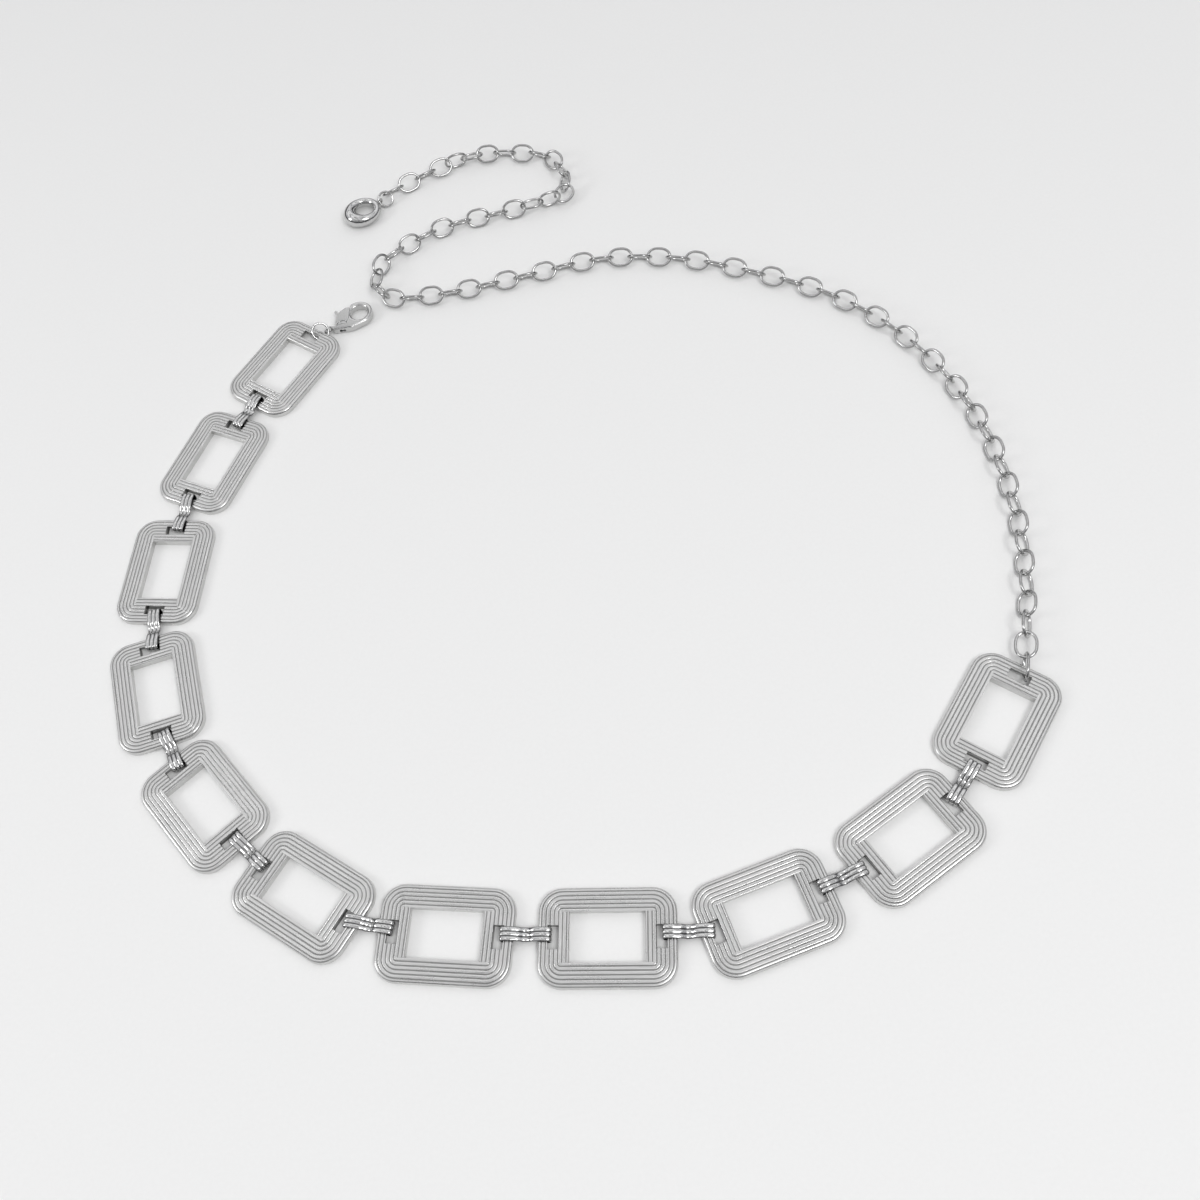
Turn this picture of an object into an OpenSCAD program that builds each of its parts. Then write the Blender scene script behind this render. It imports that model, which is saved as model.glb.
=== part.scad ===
// Waist chain of grooved rectangular plates, lying open on a flat surface.
// Eleven window plates are joined by ribbed hook links. One end carries a
// lobster clasp on a jump ring, the other a long cable chain with a drop charm.
// X runs to the right, Y away from the viewer, Z up. All sizes are millimetres.

/* [Plate] */
// Length of a plate along the belt
plate_l = 40; // [36:0.5:46]
// Width of a plate across the belt
plate_w = 28.2; // [26:0.2:34]
// Height of the smooth inner band above the surface
plate_t = 2.5; // [2.4:0.1:2.8]
// Radius of a plate's outer corners
corner_r = 7; // [6:0.5:8]
// Length of the window in a plate
window_l = 21.8; // [20:0.2:23]
// Width of the window in a plate
window_w = 14.2; // [12:0.2:15]
// Distance from one groove to the next
groove_pitch = 1.2; // [1.1:0.02:1.26]
// Width of a groove
groove_w = 0.34; // [0.25:0.01:0.45]
// Width of the bar between a slot and the plate's edge
bar_w = 2.9; // [2.7:0.1:3.1]

/* [Hook link] */
// Width of the ribbed strap
strap_w = 4; // [3.6:0.1:4.4]
// Thickness of the strap
strap_t = 0.6; // [0.5:0.05:0.7]

/* [Cable chain] */
// Outer length of one chain link
link_l = 9.6; // [9.6:0.1:10]
// Outer width of one chain link
link_w = 7.2; // [7:0.1:7.8]
// Diameter of the link wire
wire_d = 1; // [0.9:0.05:1]

/* [Clasp] */
// Thickness of the clasp lying on its side
clasp_t = 3; // [2.8:0.1:3.4]
// How far the lever stands open
lever_open = 0; // [0:1:22]

/* [Charm] */
// Length of the drop charm
charm_l = 15.4; // [14:0.2:18]
// Width of the drop charm
charm_w = 13.6; // [12.6:0.2:15]
// Height of its thick end
charm_t = 5.6; // [5:0.2:7]

/* [Hidden] */
$fn = 48;
eps = 0.01;

// The object's box is centred on the origin by this move.
place = [10.47, -43.39, 0];

// How the belt lies: a plate's heading, then the direction and the distance from
// its outgoing bar to the next incoming bar, then how far the hook link between
// them has slid sideways along the first bar and along the second.
lie = [[-132.5, -130, 8.6, 0.4, 1.1], [-122.5, -114, 8.8, 0.1, 1],
    [-104.5, -98.5, 8.5, 0.7, 1.4], [-83.5, -71, 8.4, 1.5, 1.5],
    [-58, -53, 8.3, 1.4, 1.5], [-41.5, -19.5, 9.1, 1.6, 1.3],
    [-14.5, -11, 9.7, 1, 0.8], [-11, -11.5, 9.6, 1.2, 1.5],
    [9.5, 11.5, 10, 1, 1.1], [24.5, 51, 9.7, 1.5, 0.2],
    [47.5, 0, 0, 0, 0]];
start = [-97, 122.2];

// Where the cable chain lies: link number, then x and y of that link's middle,
// counted from the last plate's outer bar.
route = [[0, 0.5, 0], [1, 3, 7], [4, 10.5, 27.5], [8, 16.5, 56], [12, 17, 85],
    [16, 11.5, 111.5], [20, 0, 136], [24, -17.5, 156.5], [28, -41, 173.5],
    [32, -66.5, 187.5], [36, -94.5, 195], [40, -124, 194.5], [44, -153, 194],
    [47, -174.5, 197], [48, -179, 202], [49, -180, 208.5], [50, -177.5, 215],
    [51, -172, 219.5], [54, -152, 227.5], [58, -123, 229.5], [61, -102.5, 232],
    [62, -101, 238.5], [63, -101.5, 245], [64, -103.5, 251.5], [65, -108.5, 256],
    [68, -129, 262.5], [71, -148.5, 260.5], [74, -169, 253.5]];
last_link = route[len(route) - 1][0];
front_last = floor(last_link / 2);

rim_w = 1.03;
groove_n = 5;
end_groove_n = 7;
groove_d = 0.34;
side_play = 1.4;
slot_half = strap_w / 2 + side_play;
slot_in = rim_w + groove_pitch * 4.18;
ring_wire = 0.9;
floor_gap = 0.03;
relief_h = floor_gap + strap_t + 0.37;
end_relief_h = floor_gap + ring_wire + 0.47;
end_relief_half = 6.6;
bar_mid = plate_l / 2 - bar_w / 2;
hook_reach = 5.5;
hook_in = bar_w / 2 + hook_reach;
arm_z = 0.1 + strap_t / 2 + floor_gap;
dip_z = plate_t - 0.38;
crown_z = plate_t + 0.65;
jump_r = 3.05;
end_r = 2.8;
silver_tone = [0.78, 0.78, 0.79];
bright_tone = [0.86, 0.86, 0.87];

function dir(a) = [cos(a), sin(a)];
function left_of(v) = [-v[1], v[0]];
function head_of(v) = atan2(v[1], v[0]);

// Middle of plate i, counted from the clasp end.
function plate_c(i) = i == 0 ? start
    : plate_c(i - 1) + bar_mid * dir(lie[i - 1][0])
      + lie[i - 1][2] * dir(lie[i - 1][1]) + bar_mid * dir(lie[i][0]);

// Smooth curve through the route, by link number. It grows with the links' pitch.
route_unit = (link_l - 2 * wire_d) / 7.6;
function seg(v, i = 0) = i >= len(route) - 2 || v < route[i + 1][0] ? i : seg(v, i + 1);
last_plate = len(lie) - 1;
function knot(i) = plate_c(last_plate) + bar_mid * dir(lie[last_plate][0])
    + route_unit * [route[i][1], route[i][2]];
function slope(i) = let (a = max(i - 1, 0), b = min(i + 1, len(route) - 1))
    (knot(b) - knot(a)) / (route[b][0] - route[a][0]);
function chain_at(v) = let (i = seg(v), h = route[i + 1][0] - route[i][0],
        t = (v - route[i][0]) / h, t2 = t * t, t3 = t2 * t)
    (2 * t3 - 3 * t2 + 1) * knot(i) + (t3 - 2 * t2 + t) * h * slope(i)
    + (3 * t2 - 2 * t3) * knot(i + 1) + (t3 - t2) * h * slope(i + 1);
function chain_head(n) = head_of(chain_at(min(n + 1, last_link)) - chain_at(max(n - 1, 0)));

// Odd and even links lean to opposite sides; the lean swaps at two places.
function ramp(v, a, b) = min(max((v - a) / (b - a), 0), 1);
function lean(n) = 45 * ramp(n, 0, 3) - 90 * ramp(n, 58, 63) + 90 * ramp(n, 68, 71);
function link_z(n) = floor_gap + wire_d / 2
    + (link_w - wire_d) / 2 * max(abs(sin(lean(n))), abs(cos(lean(n))));

module rounded(l, w, r) {
    rr = max(r, 0.05);
    square([l - 2 * rr, w], center = true);
    square([l, w - 2 * rr], center = true);
    for (sx = [-1, 1], sy = [-1, 1])
        translate([sx * (l / 2 - rr), sy * (w / 2 - rr)]) circle(rr);
}

module slab(inset, h) {
    linear_extrude(h)
        rounded(plate_l - 2 * inset, plate_w - 2 * inset, corner_r - inset);
}

// The outer grooves run all round the plate.
module groove(k) {
    inset = rim_w + k * groove_pitch;
    translate([0, 0, ridge_h(k) - groove_d]) difference() {
        linear_extrude(1)
            rounded(plate_l - 2 * inset, plate_w - 2 * inset, corner_r - inset);
        translate([0, 0, -eps]) linear_extrude(1 + 2 * eps)
            rounded(plate_l - 2 * inset - 2 * groove_w, plate_w - 2 * inset - 2 * groove_w,
                corner_r - inset - groove_w);
    }
}

// The last grooves are straight and lie only between the window and the slots.
module end_groove(k) {
    for (s = [-1, 1])
        translate([s * (plate_l / 2 - rim_w - k * groove_pitch - groove_w / 2), 0,
            ridge_h(k) - groove_d + 0.5])
            cube([groove_w, window_w, 1], center = true);
}

// Ridge tops rise a little from the rim to the window's edge.
function ridge_h(k) = plate_t - 0.2 + 0.2 * k / end_groove_n;

// Each end has a slot and under its bar a relief, given as height and half width.
module plate(first, last) {
    color(silver_tone) difference() {
        union() {
            slab(0, 1.1);
            slab(0.3, 1.6);
            slab(0.75, 2);
            for (k = [0 : groove_n]) slab(rim_w - 0.3 + k * groove_pitch, ridge_h(k));
            slab(rim_w + (end_groove_n - 1) * groove_pitch + groove_w, plate_t);
        }
        translate([0, 0, -1]) linear_extrude(5) square([window_l, window_w], center = true);
        for (k = [0 : groove_n - 1]) groove(k);
        for (k = [groove_n : end_groove_n - 1]) end_groove(k);
        for (s = [-1, 1]) {
            translate([s * (plate_l / 2 - (bar_w + slot_in) / 2), 0, 1.5])
                cube([slot_in - bar_w, 2 * slot_half, 5], center = true);
            relief = s < 0 ? first : last;
            translate([s * (plate_l / 2 - slot_in / 2 + 0.5), 0, 0])
                cube([slot_in + 1, 2 * relief[1], 2 * relief[0]], center = true);
        }
    }
}

module placed_plate(i) {
    middle = [relief_h, slot_half];
    translate([place[0] + plate_c(i)[0], place[1] + plate_c(i)[1], 0])
        rotate([0, 0, lie[i][0]])
            plate(i == 0 ? [end_relief_h, end_relief_half] : middle,
                i == last_plate ? [end_relief_h, slot_half] : middle);
}

// Side view of half a hook link: a flat flank rising from the dip to the crown
// over the bar, the turn down beside the bar and the arm below it.
turn_r = 0.9;
bend_r = 0.5;
hook_x = hook_in + strap_t / 2;
flank_n = 6;
half_path = [
    [0, dip_z + 0.06], [0.35, dip_z + 0.1],
    for (i = [1 : flank_n]) [0.35 + 0.66 * i, dip_z + 0.1 + (crown_z - dip_z - 0.12) * i / flank_n],
    [4.85, crown_z + 0.04], [5.4, crown_z],
    for (a = [66 : -16.5 : 0]) [hook_x - turn_r * (1 - cos(a)), crown_z - 0.95 + turn_r * sin(a)],
    for (a = [0 : -22.5 : -90]) [hook_x - bend_r * (1 - cos(a)), arm_z + bend_r * (1 + sin(a))],
    [hook_in - 1.9, arm_z]];
half_n = len(half_path);
strap_path = [for (i = [1 - half_n : half_n - 1])
    [sign(i) * half_path[abs(i)][0], half_path[abs(i)][1]]];
strap_n = len(strap_path);
function strap_normal(i) = let (a = strap_path[max(i - 1, 0)],
        b = strap_path[min(i + 1, strap_n - 1)], d = b - a) left_of(d) / norm(d);
function band(lo, hi) = concat(
    [for (i = [0 : strap_n - 1]) strap_path[i] + hi * strap_normal(i)],
    [for (i = [strap_n - 1 : -1 : 0]) strap_path[i] + lo * strap_normal(i)]);

module hook_link() {
    color(bright_tone) difference() {
        rotate([90, 0, 0]) linear_extrude(strap_w, center = true)
            polygon(band(-strap_t / 2, strap_t / 2));
        for (s = [-1, 1]) translate([0, s * strap_w / 6, 0])
            rotate([90, 0, 0]) linear_extrude(0.3, center = true)
                polygon(band(strap_t / 2 - 0.24, strap_t / 2 + 0.15));
    }
}

// The strap's ends sit on the two bars, slid sideways as the table says.
module placed_hook_link(i) {
    u = dir(lie[i][0]);
    v = dir(lie[i + 1][0]);
    a = plate_c(i) + bar_mid * u + lie[i][3] * left_of(u);
    b = plate_c(i + 1) - bar_mid * v + lie[i][4] * left_of(v);
    m = (a + b) / 2;
    translate([place[0] + m[0], place[1] + m[1], 0])
        rotate([0, 0, head_of(b - a)]) hook_link();
}

module chain_link() {
    r = (link_w - wire_d) / 2;
    s = (link_l - link_w) / 2;
    union() {
        for (e = [0, 180]) rotate([0, 0, e]) translate([s, 0, 0])
            rotate([0, 0, -90]) rotate_extrude(angle = 180)
                translate([r, 0]) circle(d = wire_d, $fn = 24);
        for (e = [-1, 1]) translate([-s, e * r, 0]) rotate([0, 90, 0])
            cylinder(h = 2 * s, d = wire_d, $fn = 24);
    }
}

module links(a, b) {
    color(bright_tone) for (n = [a : b])
        translate([place[0] + chain_at(n)[0], place[1] + chain_at(n)[1], link_z(n)])
            rotate([0, 0, chain_head(n)])
                rotate([n % 2 == 1 ? -lean(n) : 90 - lean(n), 0, 0]) chain_link();
}

module wire_ring(r, wire = ring_wire) {
    rotate_extrude() translate([r, 0]) circle(d = wire, $fn = 24);
}

// The jump ring leans back and passes through the first plate's free slot.
jump_tilt = 41.8;
jump_head = 20;
first_out = dir(lie[0][0] + 180);
jump_c = plate_c(0) + (bar_mid + 0.66) * first_out - 2.34 * left_of(first_out);

module jump_ring() {
    color(bright_tone) translate([place[0] + jump_c[0], place[1] + jump_c[1],
        floor_gap + ring_wire / 2 + jump_r * sin(jump_tilt)])
        rotate([0, 0, jump_head]) rotate([jump_tilt, 0, 0]) wire_ring(jump_r);
}

// The clasp lies on its side. Its own x runs from the eye to the hook.
clasp_c = jump_c + [4.85, 0.29];
clasp_head = 24;
eye_c = [-1.59, 0.94];
eye_r = 1.4;
eye_wire = 0.8;
eye_lean = 11;
pivot = [3.6, -0.9];
pin_r = 0.5;
pin_gap = 0.05;
knuckle_r = 1.9;
tongue_gap = 0.15;
gate_gap = 0.15;
mid_lo = clasp_t / 2 - 0.55;
mid_h = 1.1;

module at_clasp() {
    translate([place[0] + clasp_c[0], place[1] + clasp_c[1], floor_gap])
        rotate([0, 0, clasp_head]) children();
}

// Outline of the clasp body, drawn in by e for the narrower outer layers.
module hook_shape(e) {
    difference() {
        union() {
            translate([11.4, 0.4]) circle(5.25 - e);
            polygon([[-0.3, -0.9 + e], [2.9, -2.7 + e], [5.9, -4.25 + e], [10.5, -4.8 + e],
                [10.5, 0], [6, 0.5], [1.85, -e], [0.7, 0.65 - e], [0.2, 1.15 - e],
                [-0.3, 1.3 - e]]);
        }
        translate([11.6, 0.15]) circle(3.4 + e);
        translate([gate_gap, 0]) polygon([[5.2, -1.3], [7.2, 0.6], [10, 4.6], [10.6, 5.5],
            [10.6, 7], [-2, 7], [-2, 1.3], [0.2, 1.15], [0.7, 0.65], [1.7, 0]]);
    }
}

module clasp_body() {
    color(bright_tone) at_clasp() union() {
        difference() {
            union() {
                translate([0, 0, 0.3]) linear_extrude(clasp_t - 0.6) hook_shape(0);
                linear_extrude(clasp_t) hook_shape(0.35);
                for (z = [0.3, mid_lo + mid_h])
                    translate([pivot[0], pivot[1], z])
                        cylinder(r = knuckle_r, h = mid_lo - 0.3);
            }
            translate([pivot[0], pivot[1], mid_lo])
                linear_extrude(mid_h) circle(knuckle_r + 0.2);
        }
        translate([pivot[0], pivot[1], 0.1]) cylinder(r = pin_r, h = clasp_t - 0.2);
        translate([eye_c[0], eye_c[1], eye_r + eye_wire / 2])
            rotate([90 + eye_lean, 0, 0]) wire_ring(eye_r, eye_wire);
    }
}

// Outline of the lever round its pin, with the thumb tab at the top.
module lever_shape() {
    difference() {
        union() {
            circle(knuckle_r - 0.4);
            polygon([[1.2, -0.75], [3.6, 1.5], [6.4, 5.5], [5.9, 6.3], [4.9, 6.7], [2.6, 6.35],
                [1.7, 6], [1.8, 7.2], [1.1, 7.9], [0.5, 7.4], [0.4, 5.35], [-1.7, 2.8],
                [-0.9, 1.25]]);
        }
        circle(pin_r + pin_gap);
    }
}

module clasp_lever() {
    color(bright_tone) at_clasp() translate([pivot[0], pivot[1], 0])
        rotate([0, 0, lever_open]) union() {
            translate([0, 0, mid_lo + tongue_gap])
                linear_extrude(mid_h - 2 * tongue_gap) lever_shape();
            translate([0, 0, 0.4]) linear_extrude(clasp_t - 0.8) difference() {
                lever_shape();
                circle(knuckle_r + 0.25);
            }
        }
}

// The end ring hangs in the last link and holds the charm's upright lug.
end_tilt = 39.7;
end_head = 4.6;
end_c = chain_at(last_link) + route_unit * [-3.45, -3.35];
lug_c = end_c + [-2.87, -0.66];
lug_r = 1.3;
lug_wire = 0.84;
lug_z = 2.15;
lug_lean = 11;
lug_out = 0.5;
charm_head = 30;
charm_c = lug_c - (charm_l / 2 + lug_out) * dir(charm_head);
hole_r = 3.5;
hole_off = 1.4;
tip_drop = 0.3;

module end_ring() {
    color(bright_tone) translate([place[0] + end_c[0], place[1] + end_c[1],
        0.04 + floor_gap + ring_wire / 2 + end_r * sin(end_tilt)])
        rotate([0, 0, end_head]) rotate([end_tilt, 0, 0]) wire_ring(end_r);
}

// The charm is a puffed ring whose hole sits nearer to its lug.
charm_a = 32;
charm_b = 12;
function rim_at(a) = let (p = charm_l / 2, q = charm_w / 2, h = hole_off,
        c = cos(a), s = sin(a), A = c * c / (p * p) + s * s / (q * q),
        B = 2 * h * c / (p * p), C = h * h / (p * p) - 1)
    (-B + sqrt(B * B - 4 * A * C)) / (2 * A);
function charm_ring(a) = let (w = rim_at(a) - hole_r,
        t = charm_t * (0.55 + 0.45 * min(max((w - 2.6) / 2.9, 0), 1)))
    [for (j = [0 : charm_b - 1]) let (b = 360 * j / charm_b,
            r = hole_r + w / 2 + w / 2 * cos(b))
        [hole_off + r * cos(a), r * sin(a),
            charm_t / 2 - tip_drop * (1 + cos(a)) + t / 2 * sin(b)]];

module drop_charm() {
    pts = [for (i = [0 : charm_a - 1]) each charm_ring(360 * i / charm_a)];
    quads = [for (i = [0 : charm_a - 1], j = [0 : charm_b - 1])
        let (i2 = (i + 1) % charm_a, j2 = (j + 1) % charm_b)
        [i * charm_b + j, i * charm_b + j2, i2 * charm_b + j2, i2 * charm_b + j]];
    tris = [for (q = quads) each [[q[0], q[1], q[2]], [q[0], q[2], q[3]]]];
    color(bright_tone) translate([place[0] + charm_c[0], place[1] + charm_c[1], floor_gap])
        rotate([0, 0, charm_head]) union() {
            polyhedron(pts, tris);
            translate([charm_l / 2 + lug_out, 0, lug_z - floor_gap])
                rotate([90 + lug_lean, 0, 0]) wire_ring(lug_r, lug_wire);
        }
}

module plate_01() { placed_plate(0); }
module plate_02() { placed_plate(1); }
module plate_03() { placed_plate(2); }
module plate_04() { placed_plate(3); }
module plate_05() { placed_plate(4); }
module plate_06() { placed_plate(5); }
module plate_07() { placed_plate(6); }
module plate_08() { placed_plate(7); }
module plate_09() { placed_plate(8); }
module plate_10() { placed_plate(9); }
module plate_11() { placed_plate(10); }
module hook_link_01() { placed_hook_link(0); }
module hook_link_02() { placed_hook_link(1); }
module hook_link_03() { placed_hook_link(2); }
module hook_link_04() { placed_hook_link(3); }
module hook_link_05() { placed_hook_link(4); }
module hook_link_06() { placed_hook_link(5); }
module hook_link_07() { placed_hook_link(6); }
module hook_link_08() { placed_hook_link(7); }
module hook_link_09() { placed_hook_link(8); }
module hook_link_10() { placed_hook_link(9); }
module cable_chain_front() { links(0, front_last); }
module cable_chain_back() { links(front_last + 1, last_link); }

plate_01();
plate_02();
plate_03();
plate_04();
plate_05();
plate_06();
plate_07();
plate_08();
plate_09();
plate_10();
plate_11();
hook_link_01();
hook_link_02();
hook_link_03();
hook_link_04();
hook_link_05();
hook_link_06();
hook_link_07();
hook_link_08();
hook_link_09();
hook_link_10();
jump_ring();
clasp_body();
clasp_lever();
cable_chain_front();
cable_chain_back();
end_ring();
drop_charm();
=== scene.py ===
# %% [markdown]
# # A waist chain of ridged plates, step by step
# The belt lies open on a pale table. Its solids come packed from the workshop
# drawing, and this script dresses them: it draws each metal piece as a smooth
# surface, plates it with silver, and lights it like a small product studio.

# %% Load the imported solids
import bpy
import numpy as np
from mathutils import Matrix, Vector


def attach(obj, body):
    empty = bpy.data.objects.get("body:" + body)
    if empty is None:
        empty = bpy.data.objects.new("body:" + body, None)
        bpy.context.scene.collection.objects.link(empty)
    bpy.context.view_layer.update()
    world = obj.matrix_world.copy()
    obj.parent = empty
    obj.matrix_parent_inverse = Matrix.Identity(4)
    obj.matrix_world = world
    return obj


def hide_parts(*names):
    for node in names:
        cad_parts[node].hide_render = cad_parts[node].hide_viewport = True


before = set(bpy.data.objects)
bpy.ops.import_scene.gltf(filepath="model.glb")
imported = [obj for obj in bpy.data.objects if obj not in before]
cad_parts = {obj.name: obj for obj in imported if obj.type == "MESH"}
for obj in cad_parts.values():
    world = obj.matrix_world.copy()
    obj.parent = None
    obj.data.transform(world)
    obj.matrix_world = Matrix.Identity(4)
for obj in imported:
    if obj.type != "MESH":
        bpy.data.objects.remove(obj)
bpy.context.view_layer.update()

# %% [markdown]
# ## How the belt lies
# Lengths are in millimetres, and this table is the one the solids were drawn
# with. The eleven plates follow each other like beads: a plate's heading, the
# way to the next plate's bar, and how far off that bar is. Walking along the
# table gives each plate's middle, so dressing and solid agree.

# %% Layout of plates and hook links
PLACE, FIRST_PLATE = np.array([10.47, -43.39]), np.array([-97, 122.2])
PLATE_L, PLATE_W, CORNER_R, BAND_Z = 40.0, 28.2, 7.0, 2.5
WINDOW_L, WINDOW_W, BAR_W, SLOT_IN, SLOT_HALF = 21.8, 14.2, 2.9, 6.046, 3.4
BAR_MID = PLATE_L / 2 - BAR_W / 2
# Columns: heading, way to the next bar, distance, hook's slide on this bar, slide on the next.
LIE = np.array([
    [-132.5, -130, 8.6, 0.4, 1.1], [-122.5, -114, 8.8, 0.1, 1], [-104.5, -98.5, 8.5, 0.7, 1.4],
    [-83.5, -71, 8.4, 1.5, 1.5], [-58, -53, 8.3, 1.4, 1.5], [-41.5, -19.5, 9.1, 1.6, 1.3],
    [-14.5, -11, 9.7, 1, 0.8], [-11, -11.5, 9.6, 1.2, 1.5], [9.5, 11.5, 10, 1, 1.1],
    [24.5, 51, 9.7, 1.5, 0.2], [47.5, 0, 0, 0, 0]])
PLATES = len(LIE)


def heading_vector(degrees):
    """Unit vector (cosine, sine) for each heading, stacked on the last axis."""
    a = np.radians(degrees)
    return np.stack([np.cos(a), np.sin(a)], axis=-1)


def left_of(v):
    """The vector turned a quarter turn to the left: (-y, x)."""
    return np.stack([-v[..., 1], v[..., 0]], axis=-1)


along = heading_vector(LIE[:, 0])
hops = LIE[:-1, 2:3] * heading_vector(LIE[:-1, 1])
steps = BAR_MID * along[:-1] + hops + BAR_MID * along[1:]
plate_mid = PLACE + FIRST_PLATE + np.vstack([[0, 0], np.cumsum(steps, axis=0)])
print("plate middles", np.round(plate_mid, 1).tolist())

# %% [markdown]
# ## Two ways to make a surface
# Metal jewellery is bent from wire or strip, or cast. Wire and strip are one
# profile carried along a path, and a casting here is a grid of heights. Both
# are arrays of points in rows and columns, so one helper can join neighbours
# into four-sided faces. This is quicker and cleaner than stacking primitives.

# %% Helpers for grids, paths and turning
def grid_faces(rows, cols, close_rows, close_cols):
    """Faces of a grid: point (i, j) joins (i, j+1), (i+1, j+1), (i+1, j), wrapping where closed."""
    i = np.arange(rows if close_rows else rows - 1)[:, None]
    j = np.arange(cols if close_cols else cols - 1)[None, :]
    i2, j2 = (i + 1) % rows, (j + 1) % cols
    quad = [i * cols + j, i * cols + j2, i2 * cols + j2, i2 * cols + j]
    return np.stack([np.broadcast_to(q, (len(i), j.shape[1])) for q in quad], axis=-1).reshape(-1, 4)


def carry(path, section, closed):
    """Carries a section along a flat path.

    Point = path point + section height times the path's left normal
    + section side times the plane's normal. Returns rows x cols x 3.
    """
    if closed:
        tangent = np.roll(path, -1, axis=0) - np.roll(path, 1, axis=0)
    else:
        tangent = np.gradient(path, axis=0)
    normal = left_of(tangent / np.linalg.norm(tangent, axis=1, keepdims=True))
    flat = path[:, None, :] + section[None, :, :1] * normal[:, None, :]
    side = np.broadcast_to(section[None, :, 1:], flat.shape[:2] + (1,))
    return np.concatenate([flat, side], axis=-1)


def turn_x(degrees):
    """Matrix that turns points about x; an array of angles gives a stack of matrices."""
    a = np.radians(np.asarray(degrees, float))
    c, s, o, l = np.cos(a), np.sin(a), np.zeros_like(a), np.ones_like(a)
    return np.stack([l, o, o, o, c, -s, o, s, c], axis=-1).reshape(a.shape + (3, 3))


def turn_z(degrees):
    """Matrix that turns points about z; an array of angles gives a stack of matrices."""
    a = np.radians(np.asarray(degrees, float))
    c, s, o, l = np.cos(a), np.sin(a), np.zeros_like(a), np.ones_like(a)
    return np.stack([c, -s, o, s, c, o, o, o, l], axis=-1).reshape(a.shape + (3, 3))


def round_wire(radius, sides):
    """Circle of the wire, as (height, side) pairs that run clockwise so that faces point outwards."""
    a = np.linspace(0, 2 * np.pi, sides, endpoint=False)
    return radius * np.stack([np.cos(a), -np.sin(a)], axis=-1)


print("a grid of 3 by 4 points has", len(grid_faces(3, 4, False, False)), "faces")


# %% Helper that makes the Blender object
def metal_piece(name, points_mm, faces, nodes, body, finish, own_mm=None, painted_dark=None, sharp=40):
    """Puts points (in mm) and faces into a mesh at the origin.

    own_mm keeps each point's place on its own piece, for patterns that follow it,
    and the per-point darkening is 0 on open metal and 1 where painted shade is darkest.
    """
    mesh = bpy.data.meshes.new(name)
    points = np.asarray(points_mm, float).reshape(-1, 3) / 1000
    mesh.from_pydata(points.tolist(), [], [list(map(int, f)) for f in faces])
    own = points if own_mm is None else np.asarray(own_mm, float).reshape(-1, 3) / 1000
    held = mesh.attributes.new("own_place", "FLOAT_VECTOR", "POINT")
    held.data.foreach_set("vector", own.astype(np.float32).ravel())
    painted_dark = np.zeros(len(points)) if painted_dark is None else np.asarray(painted_dark)
    painted_shade = mesh.attributes.new("painted_shade_amount", "FLOAT", "POINT")
    painted_shade.data.foreach_set("value", painted_dark.astype(np.float32).ravel())
    mesh.shade_smooth()
    mesh.set_sharp_from_angle(angle=np.radians(sharp))
    piece = bpy.data.objects.new(name, mesh)
    bpy.context.scene.collection.objects.link(piece)
    mesh.materials.append(finish)
    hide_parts(*nodes)
    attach(piece, body)


# %% [markdown]
# ## The silver finishes
# The plates are cast zinc alloy, barrel polished and plated with silver, which
# leaves a satin face with fine drag marks along the ridges. Painted shade
# darkens the grooves and the walls round the slots. Links, clasp and charm are
# plated bright: their roughness is low, so they mirror the white room and the
# dark gaps between the softboxes, and painted shade darkens the valleys between
# the links' ribs, the strips' undersides and the outer side of the chain wire.

# %% Colours and a small node helper
def srgb(hex_value):
    """Linear RGBA from a hex colour: dark channels divide by 12.92, others follow the 2.4 power."""
    c = np.array([int(hex_value[k:k + 2], 16) for k in (1, 3, 5)]) / 255
    lin = np.where(c <= 0.04045, c / 12.92, ((c + 0.055) / 1.055) ** 2.4)
    return (*lin.tolist(), 1.0)


def add_node(tree, kind, settings=None, links=None):
    """Adds one node, sets inputs or properties by name, and links inputs from (node, output) pairs."""
    node = tree.nodes.new(kind)
    for key, value in (settings or {}).items():
        if key in node.inputs:
            node.inputs[key].default_value = value
        else:
            setattr(node, key, value)
    for key, (source, output) in (links or {}).items():
        tree.links.new(source.outputs[output], node.inputs[key])
    return node


def new_finish(name):
    """An empty material with its tree and output node."""
    finish = bpy.data.materials.new(name)
    finish.use_nodes = True
    finish.node_tree.nodes.clear()
    return finish, finish.node_tree, finish.node_tree.nodes.new("ShaderNodeOutputMaterial")


def repeats(*sizes_mm):
    """Scale of a pattern on metres whose features have these sizes: 1000 divided by each."""
    return [1000 / size for size in sizes_mm]


print("middle grey is", round(srgb("#808080")[0], 3), "in linear light")

# %% Satin silver plating for the plates
# In millimetres. A drag mark is about 7 mm long, and it is drawn 0.4 mm wide: finer ones don't show.
DRAG_LONG, DRAG_WIDE, PATCH_LONG, PATCH_WIDE = 6.6667, 0.41667, 11.111, 3.3333
satin_silver, tree, out = new_finish("satin_silver_plating")
place = add_node(tree, "ShaderNodeAttribute", {"attribute_name": "own_place"})
painted_shade = add_node(tree, "ShaderNodeAttribute", {"attribute_name": "painted_shade_amount"})
stretch = add_node(tree, "ShaderNodeMapping", {"Scale": repeats(DRAG_LONG, DRAG_LONG, DRAG_WIDE)},
                   {"Vector": (place, "Vector")})
drag = add_node(tree, "ShaderNodeTexNoise", {"Scale": 1.0, "Detail": 3.0, "Roughness": 0.6},
                {"Vector": (stretch, "Vector")})
patch = add_node(tree, "ShaderNodeMapping", {"Scale": repeats(PATCH_LONG, PATCH_LONG, PATCH_WIDE)},
                 {"Vector": (place, "Vector")})
cloud = add_node(tree, "ShaderNodeTexNoise", {"Scale": 1.0, "Detail": 2.0}, {"Vector": (patch, "Vector")})
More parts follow.
